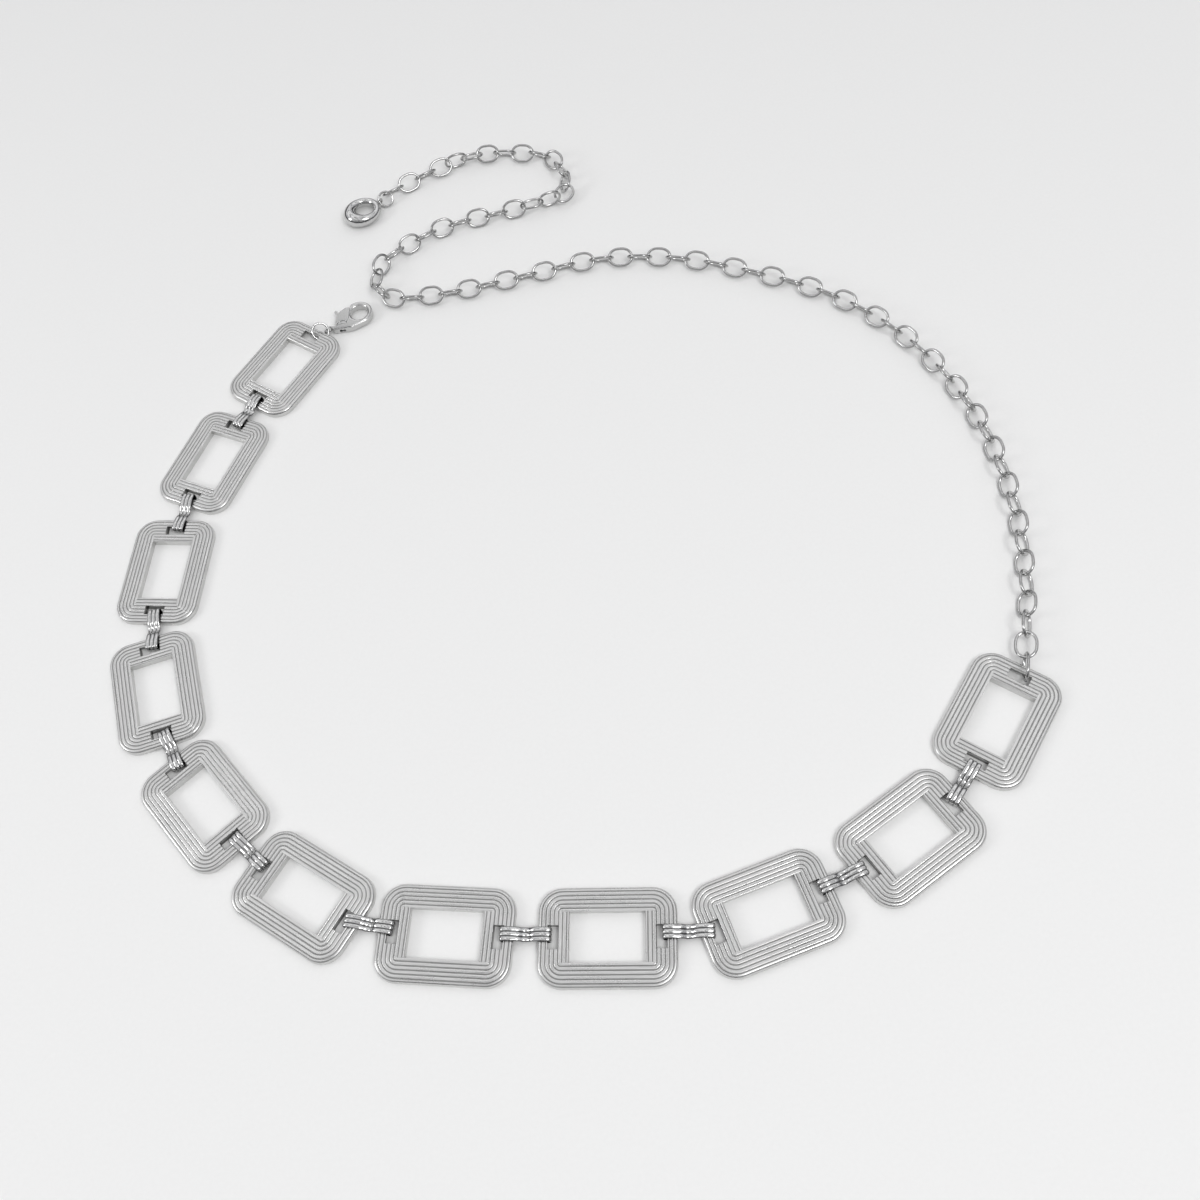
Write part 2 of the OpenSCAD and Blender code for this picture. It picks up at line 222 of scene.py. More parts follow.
rough = add_node(tree, "ShaderNodeMapRange",
                 {"From Min": 0.3, "From Max": 0.7, "To Min": 0.2, "To Max": 0.38},
                 {"Value": (cloud, "Fac")})
face = add_node(tree, "ShaderNodeMix", {"data_type": "RGBA"}, {"Factor": (drag, "Fac")})
face.inputs["A"].default_value = srgb("#C6C6C5")
face.inputs["B"].default_value = srgb("#E2E2E1")
# Painted shade: grooves and the walls round each slot are mixed towards dark grey.
tone = add_node(tree, "ShaderNodeMix", {"data_type": "RGBA"},
                {"Factor": (painted_shade, "Fac"), "A": (face, "Result")})
tone.inputs["B"].default_value = srgb("#6A6A69")
bump = add_node(tree, "ShaderNodeBump", {"Strength": 0.28, "Distance": 0.00004},
                {"Height": (drag, "Fac")})
metal = add_node(tree, "ShaderNodeBsdfPrincipled", {"Metallic": 1.0}, {
    "Base Color": (tone, "Result"), "Roughness": (rough, "Result"), "Normal": (bump, "Normal")})
tree.links.new(metal.outputs["BSDF"], out.inputs["Surface"])
print("finish", satin_silver.name)

# %% Bright silver plating for links, clasp and charm
# Plating over bent metal is never quite flat: a swell every 2 to 3 mm makes its mirror image wander.
SWELL_MM = 2.381
bright_silver, tree, out = new_finish("bright_silver_plating")
place = add_node(tree, "ShaderNodeAttribute", {"attribute_name": "own_place"})
painted_shade = add_node(tree, "ShaderNodeAttribute", {"attribute_name": "painted_shade_amount"})
swell = add_node(tree, "ShaderNodeTexNoise", {"Scale": repeats(SWELL_MM)[0], "Detail": 2.0},
                 {"Vector": (place, "Vector")})
rough = add_node(tree, "ShaderNodeMapRange", {"To Min": 0.1, "To Max": 0.2}, {"Value": (swell, "Fac")})
face = add_node(tree, "ShaderNodeMix", {"data_type": "RGBA"}, {"Factor": (swell, "Fac")})
face.inputs["A"].default_value = srgb("#D6D6D5")
face.inputs["B"].default_value = srgb("#C4C4C4")
# Painted shade: rib valleys, the strips' undersides and edges, and the outer side of the chain wire are
# mixed towards near-black.
tone = add_node(tree, "ShaderNodeMix", {"data_type": "RGBA"},
                {"Factor": (painted_shade, "Fac"), "A": (face, "Result")})
tone.inputs["B"].default_value = srgb("#3C3C3E")
bump = add_node(tree, "ShaderNodeBump", {"Strength": 0.06, "Distance": 0.00005},
                {"Height": (swell, "Fac")})
metal = add_node(tree, "ShaderNodeBsdfPrincipled", {"Metallic": 1.0}, {
    "Base Color": (tone, "Result"), "Roughness": (rough, "Result"), "Normal": (bump, "Normal")})
tree.links.new(metal.outputs["BSDF"], out.inputs["Surface"])
print("finish", bright_silver.name)

# %% [markdown]
# ## The ridged plates
# Each plate is a casting: a rounded rectangle with a soft outer edge, a window,
# and a slot at each end that leaves a bar for the hook links. Five narrow
# grooves follow the outline and two more run straight across each end. It could
# be cut from a block with booleans, but all of it follows the outline, so it is
# a grid: one parameter runs round the outline and the other runs inwards from
# the rim. Cells in a slot or in the window are left out.

# %% Cross-section of the ridges, from the rim inwards
RIM, PITCH, GROOVE, GROOVE_D, GROOVES = 1.03, 1.2, 0.34, 0.25, 7
RIM_REACH, RIM_FOOT, RIM_RISE, RIDGE_DROP, RIDGE_CLIMB = 0.8, 1.0, 1.2, 0.28, 0.2
GROOVE_SHADE, EDGE_LAND = 0.38, 0.05
LONG_IN, SHORT_IN = (PLATE_W - WINDOW_W) / 2, (PLATE_L - WINDOW_L) / 2
quarter = np.radians(np.linspace(0, 90, 8))
rim_s, rim_z = RIM_REACH * (1 - np.cos(quarter)), RIM_FOOT + RIM_RISE * np.sin(quarter)
# One groove and the ridge after it, a row for each station: way inwards, height, painted shade.
cut_s, cut_z, cut_shade = np.array([
    [0, 0, 0.1], [0.08, -0.18, 0.8], [0.14, -GROOVE_D, 1], [0.2, -GROOVE_D, 1], [0.26, -0.18, 0.8],
    [GROOVE, 0, 0.1], [0.41, 0.05, 0], [0.5, 0.07, 0], [0.77, 0.08, 0], [1.04, 0.07, 0],
    [1.13, 0.05, 0]]).T
k = np.arange(GROOVES)[:, None]
run_s = (RIM + k * PITCH + cut_s).ravel()
run_z = (BAND_Z - RIDGE_DROP + RIDGE_CLIMB * k / GROOVES + cut_z).ravel()
run_shade = np.tile(GROOVE_SHADE * cut_shade, GROOVES)
in_plate = run_s < SHORT_IN - EDGE_LAND
edge_z = np.interp(LONG_IN, run_s, run_z)
ridge_s = np.concatenate([rim_s, run_s[in_plate], [SHORT_IN]])
ridge_z = np.concatenate([rim_z, run_z[in_plate], [edge_z]])
ridge_shade = np.concatenate([0 * rim_s, run_shade[in_plate], [0]])
inset = np.unique(np.round(np.concatenate([ridge_s, [BAR_W, SLOT_IN, LONG_IN]]), 4))
top_z = np.interp(inset, ridge_s, ridge_z)
groove_shade = np.interp(inset, ridge_s, ridge_shade)
print("stations across the ridges", len(inset))

# %% Stations round the plate
END_RELIEF_HALF, MID_STATION, ARC_STATIONS, NEAR = 6.6, 1.2, 9, 0.01
corner_turn = np.radians(np.linspace(0, 90, ARC_STATIONS + 1))[:-1]
straight = PLATE_W / 2 - CORNER_R
short_y = np.array([-straight, -END_RELIEF_HALF, -SLOT_HALF, -MID_STATION,
                    MID_STATION, SLOT_HALF, END_RELIEF_HALF]) / straight
past_long = inset > LONG_IN - NEAR
joint = (PLATE_L / 2 - inset[past_long]) / (PLATE_L / 2 - CORNER_R)
long_x = np.concatenate([joint, np.linspace(joint[-1], -joint[-1], 7)[1:-1], -joint[:0:-1]])


def plate_rings(inset):
    """Rings of rounded rectangles, one per inset, all with the same stations.

    Right side upwards, corner arc, top side leftwards and so on. A station on a
    side keeps its share of the straight length; on an arc it is corner centre +
    radius times (cosine, sine). The long sides stop at the window.
    """
    half_l = PLATE_L / 2 - inset[:, None]
    half_w = PLATE_W / 2 - np.minimum(inset, LONG_IN)[:, None]
    r = np.maximum(CORNER_R - inset, 0)[:, None]
    cx, cy = half_l - r, half_w - r
    right = np.stack(np.broadcast_arrays(half_l, cy * short_y), axis=-1)
    right_arc = np.stack([cx + r * np.cos(corner_turn), cy + r * np.sin(corner_turn)], axis=-1)
    top = np.stack(np.broadcast_arrays(cx * long_x, half_w), axis=-1)
    left_arc = np.stack([-cx - r * np.sin(corner_turn), cy + r * np.cos(corner_turn)], axis=-1)
    half = np.concatenate([right, right_arc, top, left_arc], axis=1)
    return np.concatenate([half, -half], axis=1)


rings = plate_rings(inset)
rows, cols = rings.shape[:2]
half_turn = cols // 2
ring_x, ring_y = rings[..., 0], rings[..., 1]
station = np.arange(rows * cols).reshape(rows, cols)
print("grid of", rows, "rings with", cols, "stations")


# %% Which cells are metal
def cell_mean(v):
    """Mean of each cell's four corners."""
    after = np.roll(v, -1, axis=1)
    return (v[:-1] + v[1:] + after[:-1] + after[1:]) / 4


cell_x, cell_y = cell_mean(ring_x), cell_mean(ring_y)
cell_inset = np.broadcast_to(((inset[:-1] + inset[1:]) / 2)[:, None], cell_x.shape)
on_short = np.arange(cols) % half_turn < len(short_y)
in_window = (cell_inset > LONG_IN) & ~on_short
in_slot = on_short & (np.abs(cell_y) < SLOT_HALF) & (cell_inset > BAR_W) & (cell_inset < SLOT_IN)
metal_cell = ~in_slot & ~in_window
cell_quad = grid_faces(rows, cols, False, True).reshape(rows - 1, cols, 4)
print("metal cells", int(metal_cell.sum()), "of", metal_cell.size)


# %% Walls of slots, window and rim
def storey(solid, upper, lower):
    """Walls of one storey: wherever a solid cell meets an empty one, a face from upper to lower points."""
    pad = np.vstack([np.zeros((1, cols), bool), solid, np.zeros((1, cols), bool)])
    after = np.roll(np.arange(cols), -1)
    walls = []
    for i, j in (np.nonzero(pad[1:] & ~pad[:-1]), np.nonzero(pad[:-1] & ~pad[1:])):
        walls.append(np.stack([upper[i, j], lower[i, j], lower[i, after[j]], upper[i, after[j]]], axis=-1))
    before = np.roll(solid, 1, axis=1)
    for i, j in (np.nonzero(solid & ~before), np.nonzero(before & ~solid)):
        walls.append(np.stack([upper[i, j], upper[i + 1, j], lower[i + 1, j], lower[i, j]], axis=-1))
    walls[1], walls[3] = walls[1][:, ::-1], walls[3][:, ::-1]
    return np.concatenate(walls)


def outer_walls(walls, tiny=1e-6):
    """Leaves out walls inside the metal, on the line where a short side meets a long one."""
    x, y = (np.abs(v.ravel()[walls % station.size]) for v in (ring_x, ring_y))
    inside = (x > PLATE_L / 2 - SHORT_IN - tiny) & (np.abs(y - PLATE_W / 2 + LONG_IN) < tiny)
    return walls[~inside.all(axis=1)]


def corner_seams():
    """Narrow upright faces on that line, from a long side's last ring to the ends of a short side's rings.

    The two sides have ridges of different heights there, so these faces close the steps.
    """
    inner = int(np.argmax(past_long))
    m = np.arange(rows - inner)
    seams = []
    for turned in (0, half_turn):
        long_side = station[inner, len(short_y) + ARC_STATIONS + m + turned]
        short_side = station[inner + m, len(short_y) + turned]
        seams.append(np.stack([long_side[:-1], long_side[1:], short_side[1:], short_side[:-1]], axis=-1))
        long_side = station[inner, half_turn - ARC_STATIONS - m + turned]
        short_side = station[inner + m, (half_turn + turned) % cols]
        seams.append(np.stack([long_side[1:], long_side[:-1], short_side[:-1], short_side[1:]], axis=-1))
    return np.concatenate(seams)


print("seam faces", len(corner_seams()))

# %% Painted shade and grain of a plate
# Painted shade: points of the slot walls and under each bar are darkened fully, and the grooves by their
# share.
slot_rows = (inset > BAR_W - NEAR) & (inset < SLOT_IN + NEAR)
slot_wall = (slot_rows[:, None] & (np.abs(ring_y) < SLOT_HALF + NEAR)).ravel()
plate_shade = np.concatenate([np.broadcast_to(groove_shade[:, None], ring_x.shape).ravel(), slot_wall, slot_wall])
# Grain is a place for the polishing marks: the way round the outline, laid on a circle
# so that it closes, and the inset as height.
rim = rings[0]
run = np.append(0, np.cumsum(np.linalg.norm(np.diff(rim, axis=0), axis=1)))
whole = run[-1] + np.linalg.norm(rim[0] - rim[-1])
round_it = whole / (2 * np.pi) * heading_vector(360 * run / whole)
plate_grain = np.concatenate([np.broadcast_to(round_it, ring_x.shape + (2,)),
                              np.broadcast_to(inset[:, None, None], ring_x.shape + (1,))], axis=-1)
plate_grain = np.tile(plate_grain.reshape(-1, 3), (3, 1))
print("way round the rim", round(float(whole), 1), "mm")


# %% A plate as two storeys of cells
def plate_shape(first, last, skin=0.06):
    """Points, faces, painted shade and grain of one plate lying along x.

    first and last are the height and half width cut out under each end's bar.
    Three layers of stations lie above each other: ridge tops, the ceiling of
    the cut-outs (at least a thin skin below the tops) and the underside.
    """
    ceiling = np.where(ring_x < 0, first[0], last[0])
    reach = np.where(cell_x < 0, first[1], last[1])
    crest = np.broadcast_to(top_z[:, None], ring_x.shape)
    heights = (crest, np.minimum(ceiling, crest - skin), 0 * ring_x)
    points = np.concatenate([np.dstack([ring_x, ring_y, z]).reshape(-1, 3) for z in heights])
    carved = on_short & (np.abs(cell_y) < reach) & (cell_inset < SLOT_IN)
    low, n = metal_cell & ~carved, station.size
    top, ceiling_at, under = station, station + n, station + 2 * n
    walls = np.concatenate([storey(metal_cell, top, ceiling_at), storey(low, ceiling_at, under)])
    faces = np.concatenate([cell_quad[metal_cell], cell_quad[metal_cell & carved][:, ::-1] + n,
                            cell_quad[low][:, ::-1] + 2 * n, outer_walls(walls), corner_seams()])
    used, renumbered = np.unique(faces, return_inverse=True)
    return points[used], renumbered.reshape(-1, 4), plate_shade[used], plate_grain[used]


# %% Lay the eleven plates
RELIEF_Z, END_RELIEF_Z, GRAIN_STEP = 1.0, 1.4, 20
for i in range(PLATES):
    first = (END_RELIEF_Z, END_RELIEF_HALF) if i == 0 else (RELIEF_Z, SLOT_HALF)
    last = (END_RELIEF_Z if i == PLATES - 1 else RELIEF_Z, SLOT_HALF)
    own, faces, painted_dark, grain = plate_shape(first, last)
    laid = own @ turn_z(LIE[i, 0]).T + np.append(plate_mid[i], 0)
    metal_piece("ridged_plate_%02d" % (i + 1), laid, faces, ["plate_%02d" % (i + 1)], "belt",
                satin_silver, grain + [0, 0, GRAIN_STEP * i], painted_dark, sharp=38)
print("plates laid, faces each", len(faces))

# %% [markdown]
# ## The hook links
# A hook link is a strip pressed with three ribs and bent down at both ends, so
# that it grips the bars of two plates. From the side it is one bent line, and
# across it is always the same ribbed section, so the section is carried along
# the line. A dip at its waist lets it follow the body. The dip is drawn 0.7 mm
# deeper than in the solids, as deep as the photographed links show it.

# %% The strip's side line
STRAP_W, STRAP_T, DIP_Z, CROWN_Z, ARM_Z, HOOK_REACH = 4.0, 0.6, 2.12, 3.15, 0.43, 5.5
WAIST_DIP, WAIST_HALF, VALLEY_HALF, FLANK_FROM, FLANK_TO = 0.7, 2.6, 1.4, 0.35, 4.3
FOOT_UP, CROWN_SHORT, FLANK_RUN = 0.1, 0.12, 3.96
CROWN_R, CROWN_DROP, BEND_R, ARM_BEND, ARM_END = 0.9, 0.95, 0.5, 1.2, 1.9
hook_in = BAR_W / 2 + HOOK_REACH
hook_x = hook_in + STRAP_T / 2
turn = np.radians(np.linspace(66, 0, 8))
bend = np.radians(np.linspace(0, -90, 8))
foot_z, flank = DIP_Z + FOOT_UP, (CROWN_Z - DIP_Z - CROWN_SHORT) / FLANK_RUN
valley, run_up = np.linspace(0, VALLEY_HALF, 8), np.linspace(VALLEY_HALF, FLANK_TO, 10)[1:]
valley_z = foot_z + flank * (VALLEY_HALF / 2 - FLANK_FROM)
# The strip rises from the waist, runs over the bar and turns down to the arm below it.
waist_part = np.stack([valley, valley_z + flank * valley ** 2 / (2 * VALLEY_HALF)], axis=-1)
flank_part = np.stack([run_up, foot_z + flank * (run_up - FLANK_FROM)], axis=-1)
crown_part = np.array([[4.6, CROWN_Z + 0.02], [4.95, CROWN_Z + 0.05], [5.4, CROWN_Z]])
over_part = np.stack([hook_x - CROWN_R * (1 - np.cos(turn)),
                      CROWN_Z - CROWN_DROP + CROWN_R * np.sin(turn)], axis=-1)
under_part = np.stack([hook_x - BEND_R * (1 - np.cos(bend)),
                       ARM_Z + BEND_R * (1 + np.sin(bend))], axis=-1)[1:]
arm_part = np.array([[hook_in - ARM_BEND, ARM_Z], [hook_in - ARM_END, ARM_Z]])
half_line = np.concatenate([waist_part, flank_part, crown_part, over_part, under_part, arm_part])
half_line[:, 1] -= WAIST_DIP * (1 + np.cos(np.pi * np.minimum(half_line[:, 0] / WAIST_HALF, 1))) / 2
side_line = np.concatenate([half_line[:0:-1] * [-1, 1], half_line])
print("points along the strip", len(side_line))

# %% The strip's ribbed section
RIBS, RIB_D, RIB_ROUND, CHAMFER, RIB_SHADE = 3, 0.32, 1.96, 0.12, 0.68
across = np.linspace(-STRAP_W / 2, STRAP_W / 2, 12 * RIBS + 1)
rib = (across * RIBS / STRAP_W + 0.5) % 1 - 0.5
rib_h = STRAP_T / 2 - RIB_D * (1 - np.sqrt(np.clip(1 - (RIB_ROUND * rib) ** 2, 0, 1)))
upper_side = np.stack([rib_h, across], axis=-1)
lower_side = np.array([
    [-STRAP_T / 2 + CHAMFER, STRAP_W / 2], [-STRAP_T / 2, STRAP_W / 2 - CHAMFER],
    [-STRAP_T / 2, -STRAP_W / 2 + CHAMFER], [-STRAP_T / 2 + CHAMFER, -STRAP_W / 2]])
strap_section = np.concatenate([upper_side, lower_side]) * [1, -1]
# Painted shade: the valleys between the ribs darken, and the strip's underside and chamfered edges are
# darkened almost fully.
valley_shade = RIB_SHADE * np.clip((STRAP_T / 2 - rib_h - 0.04) / 0.2, 0, 1)
strap_shade = np.append(valley_shade, [0.9, 1, 1, 0.9])
print("points across the strip", len(strap_section))

# %% Bend the ten links over their bars
strap = carry(side_line, strap_section, False)
strap = np.stack([strap[..., 0], -strap[..., 2], strap[..., 1]], axis=-1)
rows, cols = strap.shape[:2]
strap_faces = grid_faces(rows, cols, False, True).tolist()
strap_faces += [list(range(cols)), list(range((rows - 1) * cols, rows * cols))[::-1]]
bar_out = plate_mid[:-1] + BAR_MID * along[:-1] + LIE[:-1, 3:4] * left_of(along[:-1])
bar_in = plate_mid[1:] - BAR_MID * along[1:] + LIE[:-1, 4:5] * left_of(along[1:])
link_head = np.degrees(np.arctan2(*(bar_in - bar_out).T[::-1]))
for i in range(PLATES - 1):
    laid = strap.reshape(-1, 3) @ turn_z(link_head[i]).T + np.append((bar_out[i] + bar_in[i]) / 2, 0)
    metal_piece("ribbed_hook_%02d" % (i + 1), laid, strap_faces, ["hook_link_%02d" % (i + 1)], "belt",
                bright_silver, strap, np.tile(strap_shade, rows))
print("hook links bent", rows * cols, "points each")

# %% [markdown]
# ## The cable chain
# Seventy-five wire loops hang in each other. Each loop leans to one side and
# its neighbours lean to the other, which is how such a chain settles on a
# table. In the solids both lean 45 degrees. Here, between links 17 and 70, one
# leans 35 and the next 55, as they look in the photo, and that fades in from
# link 11 and out to link 73. One loop is a wire circle carried round an oval,
# and a stack of turning matrices sets all loops at once.

# %% The chain's route
LINK_L, LINK_W, WIRE, LINKS, GAP = 9.6, 7.2, 1.0, 75, 0.03
# Columns: link number, and its place from the last plate's bar along x and y.
ROUTE = np.array([
    [0, 0.5, 0], [1, 3, 7], [4, 10.5, 27.5], [8, 16.5, 56], [12, 17, 85], [16, 11.5, 111.5], [20, 0, 136],
    [24, -17.5, 156.5], [28, -41, 173.5], [32, -66.5, 187.5], [36, -94.5, 195], [40, -124, 194.5],
    [44, -153, 194], [47, -174.5, 197], [48, -179, 202], [49, -180, 208.5], [50, -177.5, 215],
    [51, -172, 219.5], [54, -152, 227.5], [58, -123, 229.5], [61, -102.5, 232], [62, -101, 238.5],
    [63, -101.5, 245], [64, -103.5, 251.5], [65, -108.5, 256], [68, -129, 262.5], [71, -148.5, 260.5],
    [74, -169, 253.5]])


def smooth_route(route, number):
    """Cubic curve through the route's points, whose slope at each is that between its neighbours."""
    knot = np.arange(len(route))
    back, fore = np.maximum(knot - 1, 0), np.minimum(knot + 1, len(route) - 1)
    slope = (route[fore, 1:] - route[back, 1:]) / (route[fore, :1] - route[back, :1])
    seg = np.clip(np.searchsorted(route[:, 0], number, side="right") - 1, 0, len(route) - 2)
    h = route[seg + 1, :1] - route[seg, :1]
    t = (number[:, None] - route[seg, :1]) / h
    return ((2 * t**3 - 3 * t**2 + 1) * route[seg, 1:] + (t**3 - 2 * t**2 + t) * h * slope[seg]
            + (3 * t**2 - 2 * t**3) * route[seg + 1, 1:] + (t**3 - t**2) * h * slope[seg + 1])


number = np.arange(LINKS)
link_mid = smooth_route(ROUTE, number) + plate_mid[-1] + BAR_MID * along[-1]
print("chain length", round(float(np.linalg.norm(np.diff(link_mid, axis=0), axis=1).sum())), "mm")

# %% Heading and lean of each link
LEAN, ROLL = 45, 10


def ramp(a, b):
    """Grows from 0 at link a to 1 at link b."""
    return np.clip((number - a) / (b - a), 0, 1)


ahead, behind = np.minimum(number + 1, LINKS - 1), np.maximum(number - 1, 0)
link_turn = np.degrees(np.arctan2(*(link_mid[ahead] - link_mid[behind]).T[::-1]))
# Where the chain turns back, links 58 to 63 swing over to lean the other way, and 68 to 71 swing back.
lean = (LEAN * ramp(0, 3) - ROLL * ramp(11, 17) - 2 * LEAN * ramp(58, 63) + 2 * LEAN * ramp(68, 71)
        + ROLL * ramp(70, 73))
tip = np.radians(lean)
link_z = GAP + WIRE / 2 + (LINK_W - WIRE) / 2 * np.maximum(abs(np.sin(tip)), abs(np.cos(tip)))
print("links stand", round(float(link_z.min()), 2), "to", round(float(link_z.max()), 2), "mm high")


# %% Make the loops
def oval(length, width, count):
    """Closed line halfway between an ellipse and a stadium, counter-clockwise.

    The stadium is a circle whose two halves are moved apart, smoothly near the middle.
    """
    a = np.linspace(0, 2 * np.pi, count, endpoint=False)
    unit = np.stack([np.cos(a), np.sin(a)], axis=-1)
    ellipse = unit * [length / 2, width / 2]
    stadium = unit * width / 2 + [[(length - width) / 2, 0]] * np.tanh(8 * np.cos(a))[:, None]
    return (ellipse + stadium) / 2


LOOP_STATIONS, WIRE_SIDES, LOOP_SHADE, FRONT_LINKS = 36, 12, 0.16, 38
loop = carry(oval(LINK_L - WIRE, LINK_W - WIRE, LOOP_STATIONS), round_wire(WIRE / 2, WIRE_SIDES), True)
loop_faces = grid_faces(LOOP_STATIONS, WIRE_SIDES, True, True)
# Painted shade: the wire is darkened towards its outer side, away from the loop's middle, and left open on
# its inner side.
loop_shade = np.tile(LOOP_SHADE - LOOP_SHADE * round_wire(1, WIRE_SIDES)[:, 0], LOOP_STATIONS)
set_turn = turn_z(link_turn) @ turn_x(np.where(number % 2 == 1, -lean, 90 - lean))
loops = np.einsum("nab,pb->npa", set_turn, loop.reshape(-1, 3))
loops += np.column_stack([link_mid, link_z])[:, None, :]
for name, node, part in (("cable_loops_front", "cable_chain_front", slice(0, FRONT_LINKS)),
                         ("cable_loops_back", "cable_chain_back", slice(FRONT_LINKS, LINKS))):
    few = loops[part]
    first_point = np.arange(len(few))[:, None, None] * LOOP_STATIONS * WIRE_SIDES
    metal_piece(name, few, (loop_faces[None] + first_point).reshape(-1, 4), [node], "belt",
                bright_silver, painted_dark=np.tile(loop_shade, len(few)), sharp=60)
print("loops", LINKS, "faces each", len(loop_faces))

# %% [markdown]
# ## Rings
# The jump ring and the end ring are cut from a coil of wire and closed with
# pliers, so a hair-thin seam shows where the two ends meet. The wire circle is
# carried along a ring that stops just short of closing.

# %% Jump ring and end ring
RING_WIRE, RING_SIDES, RING_STATIONS, RING_SEAM, SEAM_AT = 0.9, 16, 64, 1.2, 150
JUMP_OUT, JUMP_ASIDE, END_OFF = 0.66, 2.34, [-3.45, -3.35]


def wire_ring(radius, wire, seam_deg, count):
    """Ring in its own plane whose two ends leave a small seam; ends are capped."""
    a = np.radians(np.linspace(seam_deg / 2, 360 - seam_deg / 2, count))
    circle = radius * np.stack([np.cos(a), np.sin(a)], axis=-1)
    tube = carry(circle, round_wire(wire / 2, RING_SIDES), False).reshape(-1, 3)
    caps = [list(range(RING_SIDES))[::-1], list(range(len(tube) - RING_SIDES, len(tube)))]
    return tube, grid_faces(count, RING_SIDES, False, True).tolist() + caps


outwards = -along[0]
jump_mid = plate_mid[0] + (BAR_MID + JUMP_OUT) * outwards - JUMP_ASIDE * left_of(outwards)
end_mid = link_mid[-1] + END_OFF
# Each row: name, solid, radius, middle, heading, tilt, and how much it is lifted off the table.
for name, node, radius, mid, head, tilt, lift in (
        ("closed_jump_ring", "jump_ring", 3.05, jump_mid, 20, 41.8, 0),
        ("closed_end_ring", "end_ring", 2.8, end_mid, 4.6, 39.7, 0.04)):
    points, faces = wire_ring(radius, RING_WIRE, RING_SEAM, RING_STATIONS)
    points = points @ turn_z(SEAM_AT).T
    z = lift + GAP + RING_WIRE / 2 + radius * np.sin(np.radians(tilt))
    laid = points @ (turn_z(head) @ turn_x(tilt)).T + np.append(mid, z)
    metal_piece(name, laid, faces, [node], "belt", bright_silver)
print("rings", np.round([jump_mid, end_mid], 1).tolist())

# %% [markdown]
# ## The drop charm
# The charm is a puffed ring with its hole nearer the lug, so it is thin beside
# the lug and fat at the far end. It is a closed grid: one parameter runs round
# the hole, the other round the ring's rounded section, whose width reaches
# from the hole to an ellipse and whose height grows with that width.

# %% The puffed ring
CHARM_L, CHARM_W, CHARM_T, HOLE_R, HOLE_OFF, TIP_DROP = 15.4, 13.6, 5.6, 3.5, 1.4, 0.3
THIN_SHARE, FAT_SHARE, THIN_WALL, WALL_RANGE, PUFF_ROWS, PUFF_COLS = 0.55, 0.45, 2.6, 2.9, 96, 32
a = np.radians(np.linspace(0, 360, PUFF_ROWS, endpoint=False))[:, None]
b = np.radians(np.linspace(0, 360, PUFF_COLS, endpoint=False))[None, :]
# From the hole's middle the ellipse lies at the larger root of qa w^2 + qb w + qc = 0.
p, q = CHARM_L / 2, CHARM_W / 2
qa = np.cos(a) ** 2 / p**2 + np.sin(a) ** 2 / q**2
qb, qc = 2 * HOLE_OFF * np.cos(a) / p**2, HOLE_OFF**2 / p**2 - 1
wall = (-qb + np.sqrt(qb**2 - 4 * qa * qc)) / (2 * qa) - HOLE_R
thick = CHARM_T * (THIN_SHARE + FAT_SHARE * np.clip((wall - THIN_WALL) / WALL_RANGE, 0, 1))
r = HOLE_R + wall / 2 + wall / 2 * np.cos(b)
puff_z = CHARM_T / 2 - TIP_DROP * (1 + np.cos(a)) + thick / 2 * np.sin(b)
puff = np.stack([HOLE_OFF + r * np.cos(a), r * np.sin(a), puff_z], axis=-1).reshape(-1, 3)
print("charm wall", round(float(wall.min()), 2), "to", round(float(wall.max()), 2), "mm")

# %% Solder the lug and hang the charm
LUG_R, LUG_WIRE, LUG_Z, LUG_LEAN, LUG_OUT, LUG_SEAM, LUG_STATIONS = 1.3, 0.84, 2.15, 11, 0.5, 0.4, 48
CHARM_HEAD, LUG_OFF = 30, [-2.87, -0.66]
lug, lug_faces = wire_ring(LUG_R, LUG_WIRE, LUG_SEAM, LUG_STATIONS)
lug = lug @ turn_x(90 + LUG_LEAN).T + [p + LUG_OUT, 0, LUG_Z - GAP]
charm = np.concatenate([puff, lug])
charm_faces = grid_faces(PUFF_ROWS, PUFF_COLS, True, True).tolist()
charm_faces += [[v + len(puff) for v in f] for f in lug_faces]
charm_mid = end_mid + LUG_OFF - (p + LUG_OUT) * heading_vector(CHARM_HEAD)
laid = charm @ turn_z(CHARM_HEAD).T + np.append(charm_mid, GAP)
metal_piece("puffed_charm", laid, charm_faces, ["drop_charm"], "belt",
            bright_silver, charm)
print("charm middle", np.round(charm_mid, 1).tolist())

# %% [markdown]
# ## The lobster clasp
# The clasp's body and its lever are small castings that were tumbled smooth in
# a drum of pellets. Their outlines are already right in the solids, so copies
# of those meshes are wrapped in a fine even skin, and the skin is relaxed a
# few times, which wears the edges round just as tumbling does.

# %% Tumbled copies of the clasp's two castings
WELD_M, SKIN_M, TUMBLE, TUMBLE_TURNS = 0.000002, 0.0001, 0.5, 14
for name, node, body in (("clasp_casting", "clasp_body", "belt"),
                         ("lever_casting", "clasp_lever", "lever")):
    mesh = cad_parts[node].data.copy()
    mesh.name = name
    mesh.materials.clear()
    mesh.materials.append(bright_silver)
    piece = bpy.data.objects.new(name, mesh)
    bpy.context.scene.collection.objects.link(piece)
    weld = piece.modifiers.new("weld", "WELD")
    weld.merge_threshold = WELD_M
    skin = piece.modifiers.new("even_skin", "REMESH")
    skin.mode, skin.voxel_size, skin.use_smooth_shade = "VOXEL", SKIN_M, True
    tumble = piece.modifiers.new("tumbled", "SMOOTH")
    tumble.factor, tumble.iterations = TUMBLE, TUMBLE_TURNS
    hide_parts(node)
    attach(piece, body)
    print(name, "starts with", len(mesh.polygons), "faces")

